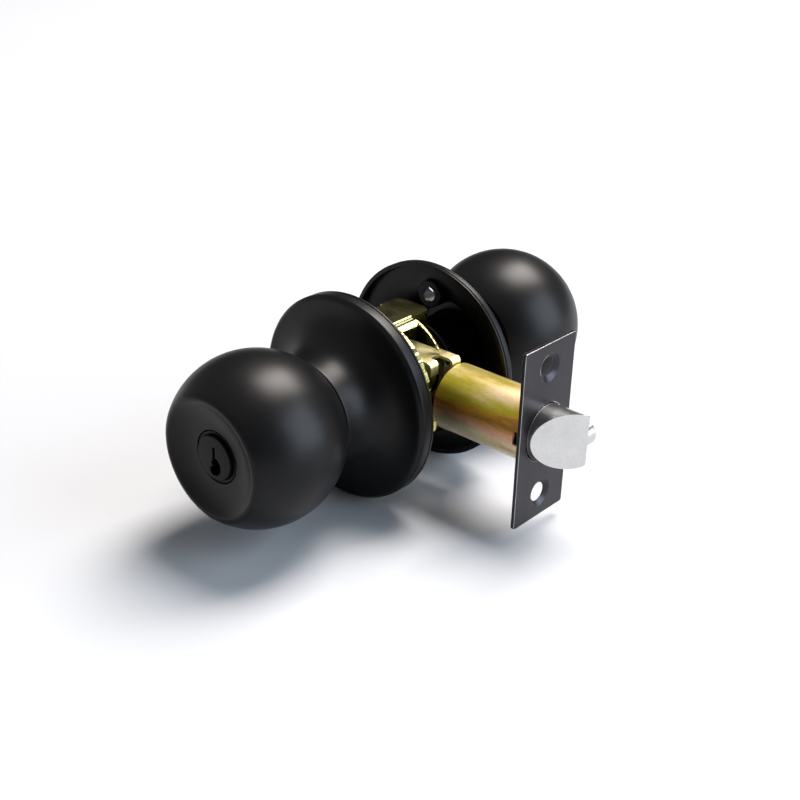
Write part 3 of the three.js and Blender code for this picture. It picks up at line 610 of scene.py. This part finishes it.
strap = {
    "flange": 20.5, "half": 6.8, "sheet": 1.1, "lipHalf": 6.3, "lipDrop": 3, "lipBend": 1.9,
    "webHalf": 4, "webSheet": 1.0, "webBend": 0.9, "endRing": 13.6,
    "seatFrom": -18, "seatTo": -17, "seatHalf": 10.3, "soften": 0.14,
}
low, high = span("case_frame")
strapOuter = high.z
strapFrom, strapTo = low.y, high.y
caseFrame = turned("caseFrame", filleted([
    (bore, strapFrom, 0.15), (strap["flange"], strapFrom, 0.15),
    (strap["flange"], strapFrom + 1, 0.15), (bore, strapFrom + 1, 0.15),
]), "Y", 144)
for end in (-1, 1):
    middle = end * (strapOuter - strap["sheet"] / 2)
    lipEdge = end * (strapOuter - strap["lipDrop"])
    combine(caseFrame, bentSheet("lips", [
        (-strap["lipHalf"], lipEdge), (-strap["lipHalf"], middle),
        (strap["lipHalf"], middle), (strap["lipHalf"], lipEdge),
    ], strap["sheet"], strap["lipBend"], "Y", strapFrom + 0.02, -0.6), "UNION")
    combine(caseFrame, bentSheet("web", [
        (-1.6, middle), (strapTo - 0.5, middle), (strapTo - 0.5, end * 12.2),
    ], strap["webSheet"], strap["webBend"], "X", -strap["webHalf"], strap["webHalf"]), "UNION")
    # the strap's far end, with its corners cut back to the web
    half = strap["half"]
    combine(caseFrame, pushed("shoulder", filleted([
        (-half, -1.4), (half, -1.4), (half, 5.6, 1.6), (4.0, 7.0, 0.8), (-4.0, 7.0, 0.8), (-half, 5.6, 1.6),
    ]), "Z", *sorted((end * (strapOuter - strap["sheet"]), end * strapOuter))), "UNION")
    z = sorted((end * 6.3, end * strap["seatHalf"]))
    strip = block("strip", strap["seatFrom"], strap["seatTo"], strapFrom + 0.8, -6.5, *z)
    combine(caseFrame, strip, "UNION")
combine(caseFrame, turned("ring", filleted([
    (bore, strapTo - 1, 0.1), (strap["endRing"], strapTo - 1, 0.1),
    (strap["endRing"], strapTo, 0.15), (bore, strapTo, 0.15),
]), "Y", 96), "UNION")
half = strap["seatHalf"]
combine(caseFrame, pushed("springSeat", filleted([
    (-7.0, -half, 1.0), (3.0, -half, 1.0), (3.0, half, 1.0), (-7.0, half, 1.0),
]), "X", strap["seatFrom"], strap["seatTo"]), "UNION")
softenEdges(caseFrame, strap["soften"])
placePiece(caseFrame, "lock", "yellow_zinc", zinc, "case_frame")
print("case made")


# retractor: a folded channel with two claws, a stop wall and a shoulder for each spindle

channel = {
    "sheet": 1.0, "bend": 0.7, "half": 12.2, "near": -8.4, "far": 1.6, "rear": -4.0, "front": 17.0,
    "clawDrop": 4.3, "clawBend": 0.5, "soften": 0.13,
}
sheet, near, far = channel["sheet"], channel["near"], channel["far"]
nearMid = near + sheet / 2
topMid = channel["half"] - sheet / 2
retractor = bentSheet("retractor", [
    (far, topMid), (nearMid, topMid), (nearMid, -topMid), (far, -topMid),
], sheet, channel["bend"], "X", channel["rear"], channel["front"])
combine(retractor, block("apron", 12, 18.5, near, near + sheet, -10.6, 10.6), "UNION")
for end in (-1, 1):
    # a short claw on the near side and a longer one on the far side of the tail
    for tip, yLow, yHigh in ((20.2, near + 0.02, near + 3.6), (22.8, -1.2, 2.6)):
        combine(retractor, bentSheet("claw", [
            (14.6, end * topMid), (tip - 0.5, end * topMid),
            (tip - 0.5, end * (channel["half"] - channel["clawDrop"])),
        ], sheet, channel["clawBend"], "Y", yLow, yHigh), "UNION")
combine(retractor, block("stopWall", 8, 9, nearMid, far, -topMid, topMid), "UNION")
combine(retractor, block("shoulder", -3.55, -2.35, 1.0, 6.6, -15, 15), "UNION")
combine(retractor, bentSheet("tab", [
    (-3.0, nearMid), (-6.8, nearMid), (-6.8, -13.0),
], sheet, channel["clawBend"], "Z", -4.5, 4.5), "UNION")
softenEdges(retractor, channel["soften"])
placePiece(retractor, "retractor", "yellow_zinc", strawZincPaintedLight, "retractor")
print("retractor made")


# latch: tube, cap, faceplate, bolt, tail and plunger

tubeShape = {"wall": 0.9, "notchFrom": 2.3, "soften": 0.12, "capSlot": 1.1, "capSoften": 0.1}
low, high = span("latch_tube")
tubeRadius = (high.z - low.z) / 2
tubeInner = tubeRadius - tubeShape["wall"]
tube = turned("latchTube", filleted([
    (tubeInner, low.x, 0.25), (tubeRadius, low.x, 0.3), (tubeRadius, high.x, 0.1), (tubeInner, high.x, 0.1),
]), "X", 160)
combine(tube, block("notch", high.x - tubeShape["notchFrom"], high.x + 1, -12, -8.3, -1.6, 2.6))
softenEdges(tube, tubeShape["soften"], 1)
placePiece(tube, "lock", "yellow_zinc", tubeZincWithPaintedLight, "latch_tube")

low, high = span("tube_cap")
capRadius = (high.y - low.y) / 2
cap = turned("tubeCap", filleted([
    (0, low.x), (capRadius, low.x, 0.3), (capRadius, high.x, 0.2), (0, high.x),
]), "X", 120)
combine(cap, block("slot", low.x - 1, high.x + 1, -tubeShape["capSlot"], tubeShape["capSlot"], -4, 4))
softenEdges(cap, tubeShape["capSoften"], 1)
placePiece(cap, "lock", "yellow_zinc", zinc, "tube_cap")

plateShape = {
    "corner": 0.7, "boltHole": 9.2, "screwAt": 20.65, "screwHole": 3.0, "dimple": 4.75, "dimpleMouth": 5.6,
    "soften": 0.16,
}
low, high = span("faceplate")
plateHalf, plateTop, face = high.y, high.z, high.x
corner = plateShape["corner"]
plate = pushed("faceplate", filleted([
    (-plateHalf, -plateTop, corner), (plateHalf, -plateTop, corner),
    (plateHalf, plateTop, corner), (-plateHalf, plateTop, corner),
]), "X", low.x, face)
combine(plate, turned("boltHole", [
    (0, low.x - 1), (plateShape["boltHole"], low.x - 1), (plateShape["boltHole"], face + 1), (0, face + 1),
], "X", 128))
for end in (-1, 1):
    combine(plate, turned("screwDimple", filleted([
        (0, low.x - 1), (plateShape["screwHole"], low.x - 1), (plateShape["screwHole"], low.x + 0.25, 0.2),
        (plateShape["dimple"], face + 0.02, 0.5), (plateShape["dimpleMouth"], face + 0.06), (0, face + 0.06),
    ]), "X", 96, (0, end * plateShape["screwAt"])))
plate.data.materials.append(plateBlack)
plate.data.materials.append(paintedEdgeHighlight)
# the rounds on every edge take the paler steel of the painted edge highlight
softenEdges(plate, plateShape["soften"], 2, 40, 1)
placePiece(plate, "lock", "dark_plate", plateBlack, "faceplate")

boltShape = {
    "radius": 8.9, "flat": 3.9, "head": 9.4, "headLength": 2.5, "bevelLength": 12.62, "bevelDepth": 10.4,
    "cornerFrom": 2.6, "soften": 0.6,
}
low, high = span("latch_bolt")
tip, rear = high.x, low.x
boltRadius, headRadius = boltShape["radius"], boltShape["head"]
headEnd = rear + boltShape["headLength"]
bolt = turned("latchBolt", [(0, rear), (boltRadius, rear), (boltRadius, tip), (0, tip)], "X", 144)
combine(bolt, block("flat", rear - 1, tip + 1, boltShape["flat"], 12, -12, 12))
combine(bolt, turned("head", filleted([
    (0, rear), (headRadius, rear, 0.3), (headRadius, headEnd, 0.3), (0, headEnd),
]), "X", 144), "UNION")
combine(bolt, pushed("bevel", [
    (tip - boltShape["bevelLength"], -boltShape["bevelDepth"]), (tip - 0.5, 3.3), (tip - 0.1, 4.4),
    (tip + 5, 4.4), (tip + 5, -boltShape["bevelDepth"]),
], "Z", -12, 12))
for end in (-1, 1):
    # the nose is narrowed above and below
    corner = [
        (tip - boltShape["cornerFrom"], end * 9.9), (tip - boltShape["cornerFrom"], end * boltRadius),
        (tip - 0.9, end * 8.4), (tip + 1, end * 6.6), (tip + 1, end * 9.9),
    ]
    combine(bolt, pushed("corner", corner, "Y", -20, 9))
softenEdges(bolt, boltShape["soften"], 3, 30)
placePiece(bolt, "latch_bolt", "bolt_steel", boltSteel, "latch_bolt")

tailShape = {"headLength": 2, "headHalf": 9.4, "neckHalf": 3.4, "soften": 0.2}
low, high = span("latch_tail")
headEnd = low.x + tailShape["headLength"]
tail = block("latchTail", low.x, headEnd, -1, 1, -tailShape["headHalf"], tailShape["headHalf"])
neck = block("neck", headEnd - 0.5, high.x, -0.6, 0.6, -tailShape["neckHalf"], tailShape["neckHalf"])
combine(tail, neck, "UNION")
softenEdges(tail, tailShape["soften"])
placePiece(tail, "latch_bolt", "plain_steel", plainSteel, "latch_tail")

plungerShape = {"nose": 2.4, "round": 8.8, "middle": 6.275, "pocket": 1.5, "pocketDepth": 9, "soften": 0.22}
low, high = span("deadlatch_plunger")
noseFrom = high.x - plungerShape["nose"]
outline = [(low.x, low.z), (noseFrom, low.z)]
for k in range(1, 24):
    angle = -math.pi / 2 + math.pi * k / 24
    outline.append((noseFrom + plungerShape["nose"] * math.cos(angle), high.z * math.sin(angle)))
outline += [(noseFrom, high.z), (low.x, high.z)]
plunger = pushed("deadlatchPlunger", outline, "Y", low.y, high.y)
combine(plunger, turned("round", [
    (0, low.x - 1), (plungerShape["round"], low.x - 1), (plungerShape["round"], high.x + 1), (0, high.x + 1),
], "X", 144), "INTERSECT")
pocket, pocketEnd = plungerShape["pocket"], low.x + plungerShape["pocketDepth"]
combine(plunger, turned("pocket", [
    (0, low.x - 1), (pocket, low.x - 1), (pocket, pocketEnd), (0, pocketEnd),
], "X", 32, (plungerShape["middle"], 0)))
softenEdges(plunger, plungerShape["soften"], 2, 40)
placePiece(plunger, "deadlatch", "bolt_steel", boltSteel, "deadlatch_plunger")
print("latch made")


# key plug and lock button

plug = {
    "head": 6.75, "headLength": 2.4, "faceRound": 0.35, "body": 6.2, "boss": 4.4, "bossLength": 2,
    "chamber": 1.6,
    "keyway": [
        (-0.55, 3.4), (0.55, 3.4), (0.55, 0.4), (1.7, -0.3), (2.7, -1.6), (2.6, -3.4), (1.5, -5.1),
        (-0.6, -5.5), (-1.7, -4.6), (-1.6, -3.2), (-0.6, -2.6), (-1.1, -1.4), (-0.55, -0.4),
    ],
}
low, high = span("key_plug")
plugFace, plugRear = low.y, high.y - plug["bossLength"]
stepAt = plugFace + plug["headLength"]
keyPlug = turned("keyPlug", filleted([
    (0, plugFace), (plug["head"], plugFace, plug["faceRound"]), (plug["head"], stepAt, 0.1),
    (plug["body"], stepAt, 0.1), (plug["body"], plugRear, 0.3), (0, plugRear),
]), "Y", 128)
combine(keyPlug, pushed("keyway", plug["keyway"], "Y", plugFace - 1, plugRear + 1))
combine(keyPlug, turned("boss", [
    (0, plugRear - 1.5), (plug["boss"], plugRear - 1.5),
    (plug["boss"], plugRear + plug["bossLength"]), (0, plugRear + plug["bossLength"]),
], "Y", 64), "UNION")
chambers = []
for number in range(1, 6):
    # one bore over each key pin
    low, high = span(f"key_pin_{number}")
    chambers.append((low.y + high.y) / 2)
    combine(keyPlug, turned("chamber", [
        (0, 1.4), (plug["chamber"], 1.4), (plug["chamber"], 8), (0, 8),
    ], "Z", 32, (0, chambers[-1])))
shade(keyPlug, 24)
placePiece(keyPlug, "key_plug", "dark_plate", plugBlackAndGapShade, "key_plug")

buttonShape = {"radius": 4.7, "dimple": 2.2, "dimpleMouth": 2.6, "dimpleDepth": 0.35}
low, high = span("lock_button")
dimpleFloor = high.y - buttonShape["dimpleDepth"]
button = turned("lockButton", filleted([
    (0, low.y), (buttonShape["radius"], low.y, 0.3), (buttonShape["radius"], high.y, 0.6),
    (buttonShape["dimpleMouth"], high.y, 0.4), (buttonShape["dimple"], dimpleFloor, 0.4), (0, dimpleFloor),
]), "Y", 96)
placePiece(button, "lock_button", "plain_steel", plainSteel, "lock_button")
print("plug and button made")


# springs: one node tree winds them all

def springTree():
    tree = bpy.data.node_groups.new("coilSpring", "GeometryNodeTree")
    face = tree.interface
    face.new_socket("Geometry", in_out="OUTPUT", socket_type="NodeSocketGeometry")
    sizes = {"Length": 0.02, "Coil Radius": 0.003, "Wire Radius": 0.0003, "Turns": 6.0, "Dead Turns": 1.0}
    for name, value in sizes.items():
        face.new_socket(name, in_out="INPUT", socket_type="NodeSocketFloat").default_value = value
    face.new_socket("Material", in_out="INPUT", socket_type="NodeSocketMaterial")
    given = addNode(tree, "NodeGroupInput").outputs
    spiral = addNode(tree, "GeometryNodeCurveSpiral", {"Resolution": 28, "Height": 0.0}, {
        "Rotations": given["Turns"],
        "Start Radius": given["Coil Radius"], "End Radius": given["Coil Radius"],
    })
    along = addNode(tree, "GeometryNodeSplineParameter").outputs["Factor"]
    # the end turns lie closed, a wire's thickness apart, and the rest share the length
    share = addNode(tree, "ShaderNodeMath", {"operation": "DIVIDE"}, {
        0: given["Dead Turns"], 1: given["Turns"],
    }).outputs[0]
    rest = addNode(tree, "ShaderNodeMath", {"operation": "SUBTRACT", 0: 1.0}, {1: share}).outputs[0]
    wires = addNode(tree, "ShaderNodeMath", {"operation": "MULTIPLY"}, {
        0: given["Dead Turns"], 1: given["Wire Radius"],
    }).outputs[0]
    dead = addNode(tree, "ShaderNodeMath", {"operation": "MULTIPLY", 1: 2.1}, {0: wires}).outputs[0]
    between = addNode(tree, "ShaderNodeMath", {"operation": "MULTIPLY_ADD", 1: -2.0}, {
        0: dead, 2: given["Length"],
    }).outputs[0]
    live = addNode(tree, "ShaderNodeMath", {"operation": "MULTIPLY_ADD", 1: -2.0}, {
        0: given["Wire Radius"], 2: between,
    }).outputs[0]
    first = addNode(tree, "ShaderNodeMapRange", {"From Min": 0.0, "To Min": 0.0}, {
        "Value": along, "From Max": share, "To Max": dead,
    }).outputs[0]
    middle = addNode(tree, "ShaderNodeMapRange", {"To Min": 0.0}, {
        "Value": along, "From Min": share, "From Max": rest, "To Max": live,
    }).outputs[0]
    last = addNode(tree, "ShaderNodeMapRange", {"From Max": 1.0, "To Min": 0.0}, {
        "Value": along, "From Min": rest, "To Max": dead,
    }).outputs[0]
    rise = first
    for part in (middle, last, given["Wire Radius"]):
        rise = addNode(tree, "ShaderNodeMath", {"operation": "ADD"}, {0: rise, 1: part}).outputs[0]
    lift = addNode(tree, "ShaderNodeCombineXYZ", {}, {"Z": rise}).outputs[0]
    wound = addNode(tree, "GeometryNodeSetPosition", {}, {"Geometry": spiral.outputs[0], "Offset": lift})
    section = addNode(tree, "GeometryNodeCurvePrimitiveCircle", {"Resolution": 10}, {
        "Radius": given["Wire Radius"],
    })
    wire = addNode(tree, "GeometryNodeCurveToMesh", {"Fill Caps": True}, {
        "Curve": wound.outputs[0], "Profile Curve": section.outputs[0],
    })
    real = addNode(tree, "GeometryNodeRealizeInstances", {}, {0: wire.outputs[0]})
    painted = addNode(tree, "GeometryNodeSetMaterial", {}, {
        "Geometry": real.outputs[0], "Material": given["Material"],
    })
    addNode(tree, "NodeGroupOutput", {}, {0: painted.outputs[0]})
    return tree


coils = springTree()


def coilSpring(name, start, end, spring):
    obj = bpy.data.objects.new(name, bpy.data.meshes.new(name))
    bpy.context.scene.collection.objects.link(obj)
    modifier = obj.modifiers.new("wind", "NODES")
    modifier.node_group = coils
    values = {
        "Length": (end - start).length * mm,
        "Coil Radius": spring["radius"] * mm, "Wire Radius": spring["wire"] * mm,
        "Turns": spring["turns"], "Dead Turns": 1.0, "Material": wireSteel,
    }
    for item in coils.interface.items_tree:
        if item.in_out == "INPUT":
            modifier[item.identifier] = values[item.name]
    settle(obj)
    turn = Vector((0, 0, 1)).rotation_difference((end - start).normalized()).to_matrix().to_4x4()
    obj.data.transform(Matrix.Translation(start * mm) @ turn)
    shade(obj, 60)
    return obj


# at is where the coil's centre line lies across its axis; keep is the share of its length left at full travel
returnSpring = {
    "body": "lock", "axis": "X", "radius": 2.5, "wire": 0.4, "turns": 9.0,
    "joint": "retractor_slide", "keep": 0.488,
}
springs = {
    "retractor_spring_upper": {**returnSpring, "at": (-3.0, 7.4)},
    "retractor_spring_lower": {**returnSpring, "at": (-3.0, -7.4)},
    "latch_spring": {
        "body": "lock", "axis": "X", "at": (0, 0), "radius": 7.2, "wire": 0.5, "turns": 6.0,
        "joint": "latch_bolt_slide", "keep": 0.365,
    },
    "plunger_spring": {
        "body": "latch_bolt", "axis": "X", "at": (plungerShape["middle"], 0), "radius": 0.95, "wire": 0.2,
        "turns": 14.0, "joint": "deadlatch_push", "keep": 0.497,
    },
    "button_spring": {
        "body": "inside_knob", "axis": "Y", "at": (0, 0), "radius": 2.7, "wire": 0.35, "turns": 6.0,
        "joint": "lock_button_push", "keep": 0.71,
    },
}
for number, y in enumerate(chambers, 1):
    springs[f"pin_spring_{number}"] = {
        "body": "outside_knob", "axis": "Z", "at": (0, y), "radius": 0.95, "wire": 0.18, "turns": 4.0,
    }
for nodeName, spring in springs.items():
    low, high = span(nodeName)
    way = Vector(toAxis(spring["axis"], 0, 0, 1))
    # a coil's box is a little lopsided, so only its place along the axis is taken from it
    middle = Vector(toAxis(spring["axis"], *spring["at"], ((low + high) / 2).dot(way)))
    start = middle + way * (low - middle).dot(way)
    end = middle + way * (high - middle).dot(way)
    word, *others = nodeName.split("_")
    wound = coilSpring(word + "".join(part.capitalize() for part in others), start, end, spring)
    placePiece(wound, spring["body"], "spring_steel", wireSteel, nodeName)
    if "joint" in spring:
        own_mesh(wound)
print("springs wound")


# floor, light and camera

studio = {
    "floorRadius": 9.0, "floorGap": 0.0002,
    "darkSide": 0.07, "brightSide": 0.5, "brightFrom": (-0.55, -0.6, 0.55),
    "lamps": {
        # direction from the lock, distance, width and height in metres, watts, colour
        "topSoftBox": ((0.02, 0.45, 0.89), 2.6, (1.25, 1.7), 172, "fff7f1"),
        "rightSoftBox": ((0.85, 0.40, 0.40), 2.6, (2.0, 2.2), 100, "dfecfb"),
    },
    # the camera, in metres and degrees, and its lens in millimetres
    "cameraAt": (0.24431, -0.28292, 0.17824), "lens": 58.80,
    "azimuth": 40.68, "elevation": 26.69, "roll": 1.58,
}
bm = bmesh.new()
bmesh.ops.create_circle(bm, cap_ends=True, segments=96, radius=studio["floorRadius"] / mm)
floor = finishMesh("studioFloor", bm)
floor.data.transform(Matrix.Translation((0, 0, cadBox[0].z - studio["floorGap"])))
floor.data.materials.append(board)

# a dim room, lighter on one side, behind a white backdrop
world = bpy.data.worlds.new("studio")
world.use_nodes = True
room = world.node_tree
room.nodes.clear()
looking = addNode(room, "ShaderNodeTexCoord").outputs["Generated"]
facing = addNode(room, "ShaderNodeVectorMath", {
    "operation": "DOT_PRODUCT", 1: studio["brightFrom"],
}, {0: looking})
glow = addNode(room, "ShaderNodeMapRange", {
    "From Min": 0.35, "From Max": 0.95, "To Min": studio["darkSide"], "To Max": studio["brightSide"],
}, {"Value": facing.outputs["Value"]})
walls = addNode(room, "ShaderNodeBackground", {"Color": linear("f4f5f7")}, {"Strength": glow.outputs[0]})
backdrop = addNode(room, "ShaderNodeBackground", {"Color": linear("ffffff"), "Strength": 1.0})
seen = addNode(room, "ShaderNodeLightPath").outputs["Is Camera Ray"]
blend = addNode(room, "ShaderNodeMixShader", {}, {0: seen, 1: walls.outputs[0], 2: backdrop.outputs[0]})
addNode(room, "ShaderNodeOutputWorld", {}, {"Surface": blend.outputs[0]})
bpy.context.scene.world = world

for name, (direction, distance, size, watts, colour) in studio["lamps"].items():
    # a square-cornered soft box that faces the lock
    data = bpy.data.lights.new(name, "AREA")
    data.shape = "RECTANGLE"
    data.size, data.size_y = size
    data.energy = watts
    data.color = linear(colour)[:3]
    lamp = bpy.data.objects.new(name, data)
    lamp.location = Vector(direction).normalized() * distance
    lamp.rotation_euler = (-Vector(direction)).to_track_quat("-Z", "Y").to_euler()
    bpy.context.scene.collection.objects.link(lamp)

cameraData = bpy.data.cameras.new("camera")
cameraData.lens = studio["lens"]
cameraData.sensor_width = 36.0
cameraData.sensor_fit = "HORIZONTAL"
cameraData.clip_start = 0.01
cameraData.clip_end = 50
camera = bpy.data.objects.new("camera", cameraData)
bpy.context.scene.collection.objects.link(camera)
azimuth, elevation, roll = (math.radians(studio[key]) for key in ("azimuth", "elevation", "roll"))
back = Vector((
    math.sin(azimuth) * math.cos(elevation), -math.cos(azimuth) * math.cos(elevation), math.sin(elevation),
))
level = Vector((math.cos(azimuth), math.sin(azimuth), 0))
upright = back.cross(level)
right = math.cos(roll) * level + math.sin(roll) * upright
up = -math.sin(roll) * level + math.cos(roll) * upright
turn = Matrix((right, up, back)).transposed().to_4x4()
camera.matrix_world = Matrix.Translation(studio["cameraAt"]) @ turn
bpy.context.scene.camera = camera
bpy.context.scene.view_settings.view_transform = "Standard"
print("studio set")
